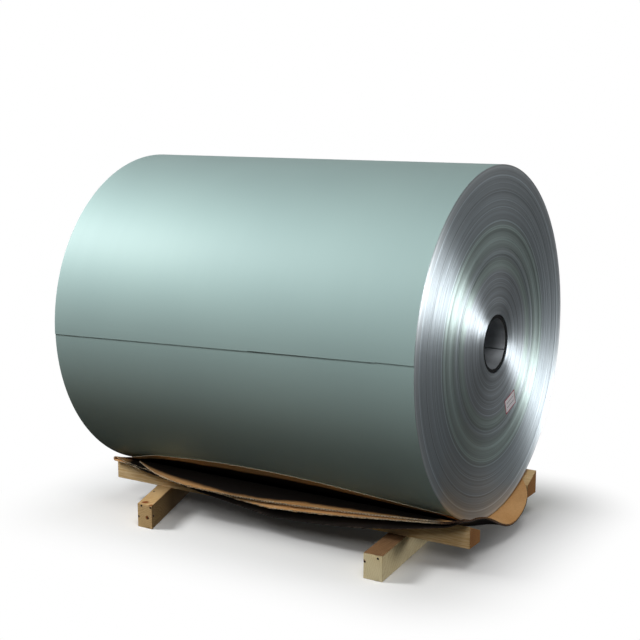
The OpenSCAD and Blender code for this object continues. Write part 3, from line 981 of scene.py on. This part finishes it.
def folded_sheet():
    """The folded sheet: it lies double with its fold at the far end, pressed tight in the
    trough and open at the front edge."""
    far_x = -HALF_W + 27
    top_depth = 2 * PITCH + SEAT
    low_depth = top_depth + PITCH
    tight_r = BOARD + SEAT / 2
    fold_r = 8
    widest_x = 60
    fold_slope = math.radians(-12)
    open_over = 90
    pressed, loose = 0.2, 2.0
    upper_hang = (45, 18, 1.5)
    lower_hang = (64, 16, 2.7)
    turn_steps = 6
    turn_step = 4
    painted_shade_from = 150 - HALF_W
    bend_start = 2 * TROUGH_STEPS + 2
    last = bend_start + BEND_STEPS + FLAP_STEPS - 1

    def opening(k):
        """How much wider than pressed tight the fold is at point k of a line."""
        return (fold_r - tight_r) * max(0, k - bend_start) / (last - bend_start)

    def half(x, depth, lower):
        """A line across the upper or the lower leaf."""
        slope = flap_slope(x, *(lower_hang if lower else upper_hang),
                           math.degrees(fold_slope), far_x)
        widest = 74 if lower else 64
        if x > widest_x:
            flap = widest - (widest - NEAR_FLAP) * droop(x, NEAR_END, 2)
        else:
            flap = widest - (widest - FAR_FLAP) * min(1, abs((x - widest_x) / (far_x - widest_x)))
        line = across(x, depth, slope, flap)
        open_z = (-1 if lower else 1) * max(0, 1 - (x - far_x) / open_over) ** 2
        return [spot + Vector((0, 0, open_z * opening(k) * MM)) for k, spot in enumerate(line)]

    def ring(radius, turn):
        """A line across the fold, turned from the upper leaf."""
        line = across(far_x, top_depth + tight_r - radius * math.cos(turn), fold_slope, FAR_FLAP)
        return [Vector((COIL_X + (far_x - (radius + opening(k)) * math.sin(turn)) * MM, spot.y,
                        spot.z + opening(k) * math.cos(turn) * MM))
                for k, spot in enumerate(line)]

    outer, inner, swell, along = [], [], [], []
    xs = stations(far_x, NEAR_END, 8)
    for x in reversed(xs):
        outer.append(half(x, low_depth + BOARD, True))
        inner.append(half(x, low_depth, True))
        swell.append(0)
        along.append(-x)
    for i in range(turn_steps - 1, 0, -1):
        turn = math.pi * i / turn_steps
        outer.append(ring(tight_r, turn))
        inner.append(ring(tight_r - BOARD, turn))
        swell.append(0)
        along.append(-far_x + (turn_steps - i) * turn_step)
    for x in xs:
        outer.append(half(x, top_depth, False))
        inner.append(half(x, top_depth + BOARD, False))
        lift = droop(x, NEAR_END if x > DEEP_X else far_x, 2)
        swell.append((loose - pressed) * (1 - lift) + pressed)
        along.append(-far_x + turn_steps * turn_step + x - far_x)
    # Painted shade: the lower leaf is painted nearly black from here on, where it hangs in shadow
    # under the other sheets
    painted_shade_rows = {i for i, x in enumerate(reversed(xs)) if x > painted_shade_from}
    piece = corrugated("folded_sheet", outer, inner, swell, along, painted_shade_rows=painted_shade_rows)
    hand_over(piece, [], ["board_folded"])


def lying(run, depth):
    """A point on the trough, run along it from its lowest line, and on up the rail."""
    radius = TROUGH_R - STACK + depth
    if run > -radius * FRONT_SLOPE:
        return trough_point(run / radius, depth)
    beyond = -run - radius * FRONT_SLOPE
    return trough_point(-FRONT_SLOPE, depth) + beyond * Vector(
        (-math.cos(FRONT_SLOPE), math.sin(FRONT_SLOPE)))


def liner_sheet():
    """The liner hugs the coil. Its torn front edge is bowed, highest at the middle, and at
    the far end it sags down on the sheet below."""
    depth = SEAT + BOARD / 2
    far_depth = 2 * PITCH + SEAT - BOARD / 2 - 0.1
    radius = WRAP_R / MM + depth
    climb = math.radians(42)
    end_climb = math.radians(30)
    rear = math.radians(34)
    sag_over = 210
    drop_over = 138
    loosens = 1.9
    ragged = 1.6
    columns = 30
    sagitta = radius * (math.sin(climb) - math.sin(end_climb))
    bow_r = (HALF_W ** 2 + sagitta ** 2) / (2 * sagitta)
    rows = []
    far_x = 20 - HALF_W
    for x in stations(far_x, HALF_W - 5, 4):
        reach = radius * math.sin(climb) - bow_r + math.sqrt(bow_r ** 2 - x ** 2)
        front = math.asin(reach / radius) + random.uniform(-ragged, ragged) / radius
        sag = eased(max(0, 1 - (x - far_x) / sag_over))
        end = max(0, 1 - (x - far_x) / drop_over)
        row = []
        for i in range(columns + 1):
            turn = rear - (rear + front) * i / columns
            hug = Vector((radius * math.sin(turn), AXIS_Z / MM - radius * math.cos(turn)))
            loose = sag * eased(min(1, max(0, -turn / front) * loosens))
            spot = hug.lerp(lying(radius * turn, depth + (far_depth - depth) * end), loose)
            row.append(Vector((COIL_X / MM + x, spot.x, spot.y)) * MM)
        rows.append(row)
    piece = laid("liner_sheet", rows, LINER, liner_facing)
    smooth(piece, 40)
    hand_over(piece, [], ["board_liner"])


liner_sheet()
middle_sheet()
folded_sheet()


# ---- Floor, light and camera ----

def daylight():
    """A plain room light. The background is white to the eye and in gloss."""
    world = bpy.data.worlds.new("studio")
    bpy.context.scene.world = world
    world.use_nodes = True
    tree = world.node_tree
    tree.nodes.clear()
    out = tree.nodes.new("ShaderNodeOutputWorld")
    seen = seen_or_mirrored(tree)
    room = add(tree, "Background", {"Color": colour("#FFFFFF"), "Strength": 0.05})
    paper = add(tree, "Background", {"Color": colour("#FFFFFF"), "Strength": 1.0})
    mix = add(tree, "MixShader", {0: seen, 1: room, 2: paper})
    tree.links.new(mix.outputs[0], out.inputs["Surface"])


def floor():
    """A plain pale floor that keeps the shadow and runs out into the white background."""
    bpy.ops.mesh.primitive_circle_add(vertices=96, radius=14, fill_type="NGON")
    piece = new_piece("studio_floor")
    material, tree, place = new_material("painted_floor")
    seen = seen_or_mirrored(tree)
    # The floor keeps its paint under the skid, and turns to white paper lit from below
    # over 0.4 m round it
    off = add(tree, "VectorMath", {0: place}, operation="ABSOLUTE")
    off = add(tree, "VectorMath", {0: off, 1: (0.58, 0.38, 0)}, operation="SUBTRACT")
    off = add(tree, "VectorMath", {0: off, 1: (0, 0, 0)}, operation="MAXIMUM")
    away = add(tree, "VectorMath", {0: off}, operation="LENGTH").outputs["Value"]
    fade = add(tree, "MapRange", {"Value": away, "From Min": 0.0, "From Max": 0.4},
               interpolation_type="SMOOTHSTEP")
    fade = add(tree, "Math", {0: fade, 1: seen}, operation="MULTIPLY")
    tint = add(tree, "Mix", {0: seen, 6: colour("#4A4A48"), 7: colour("#FBFBFA")}, data_type="RGBA")
    paint = add(tree, "BsdfDiffuse", {"Color": tint.outputs[2]})
    paper = add(tree, "Emission", {"Color": colour("#FFFFFF"), "Strength": 1.0})
    surface(material, add(tree, "MixShader", {0: fade, 1: paint, 2: paper}))
    piece.data.materials.append(material)


def grey_cards():
    """Cards out of the camera's sight that the metal reflects: a pale wall stands round
    the near end over a grey mat, a dark wall, mat and ceiling close the rest of the studio,
    and a brown mat lies in front, for the warm tone that packing gives the coil."""
    cards = []
    wall_h = 5.0
    for name, first, last, tone in (("pale_card_wall", -35, 150, "#F4F4F4"),
                                    ("dark_card_wall", 150, 325, "#3A3A3A")):
        bpy.ops.mesh.primitive_cylinder_add(
            vertices=72, radius=5.6, depth=wall_h, end_fill_type="NOTHING",
            location=(COIL_NEAR, 0, wall_h / 2))
        wall = new_piece(name)
        close(wall)
        edit(wall)
        pick(wall, "polygons", lambda f: (math.degrees(math.atan2(
            f.center.y, f.center.x - COIL_NEAR)) - first) % 360 > last - first)
        bpy.ops.mesh.delete(type="FACE")
        close(wall)
        cards.append((wall, tone))
    for name, centre, length, width, tone in (
            ("dark_card_mat", (-2.5, 0, 2 * MM), 6.4, 11.5, "#202020"),
            ("grey_card_mat", (3.5, 0, 2 * MM), 5.6, 11.5, "#868686"),
            ("brown_card_mat", (-0.45, -2.1, 4 * MM), 2.2, 3.0, "#50360F"),
            ("dark_card_ceiling", (0.6, 0, wall_h), 11.5, 11.5, "#343434")):
        bpy.ops.mesh.primitive_plane_add(size=1, location=centre)
        plane = new_piece(name)
        plane.scale = (length, width, 1)
        close(plane)
        cards.append((plane, tone))
    for card, tone in cards:
        material, tree, _ = new_material("matt_card")
        surface(material, add(tree, "BsdfDiffuse", {"Color": colour(tone)}))
        card.data.materials.append(material)
        card.visible_camera = False
        card.visible_shadow = False
        card.visible_diffuse = False


def lamp(name, direction, distance, size, power, aim=AXIS, long_side=(0, 0, 1)):
    """A soft box that faces the object, with its long side along long_side."""
    data = bpy.data.lights.new(name, "AREA")
    data.shape = "RECTANGLE"
    data.size, data.size_y = size
    data.energy = power
    light = bpy.data.objects.new(name, data)
    bpy.context.scene.collection.objects.link(light)
    way = Vector(direction).normalized()
    light.location = aim + way * distance
    long_axis = (Vector(long_side) - way * way.dot(Vector(long_side))).normalized()
    turned = Matrix((long_axis, way.cross(long_axis), way)).transposed()
    light.rotation_euler = turned.to_euler()
    light.visible_camera = False


daylight()
floor()
grey_cards()
lamp("key_softbox", (-0.70, -0.42, 0.575), 4.6, (1.3, 1.3), 150)
lamp("right_fill", (0.45, -0.42, 0.79), 4.5, (1.3, 1.3), 47)
lamp("front_fill", (0.2, -0.85, 0.49), 4.5, (1.3, 1.3), 34)
lamp("end_strip", (0.889, 0.456, 0.045), 4.0, (1.4, 0.7), 42,
     aim=AXIS + Vector((COIL_HALF, 0, 0)), long_side=(0.33, -0.86, 0.40))
lamp("rear_fill", (-0.35, 0.93, 0.0), 4.5, (1.2, 1.2), 45)

AZIMUTH = math.radians(31.65)
ELEVATION = math.radians(10.10)
DISTANCE = 3.9335
AIM = AXIS + Vector((12, 10, 12.5)) * MM
camera_data = bpy.data.cameras.new("camera")
camera_data.lens = 69.17
camera_data.sensor_width = 36
camera = bpy.data.objects.new("camera", camera_data)
bpy.context.scene.collection.objects.link(camera)
back = Vector((math.sin(AZIMUTH) * math.cos(ELEVATION), -math.cos(AZIMUTH) * math.cos(ELEVATION),
               math.sin(ELEVATION)))
camera.location = AIM + back * DISTANCE
camera.rotation_euler = (math.pi / 2 - ELEVATION, 0, AZIMUTH)
bpy.context.scene.camera = camera
bpy.context.scene.view_settings.view_transform = "Standard"
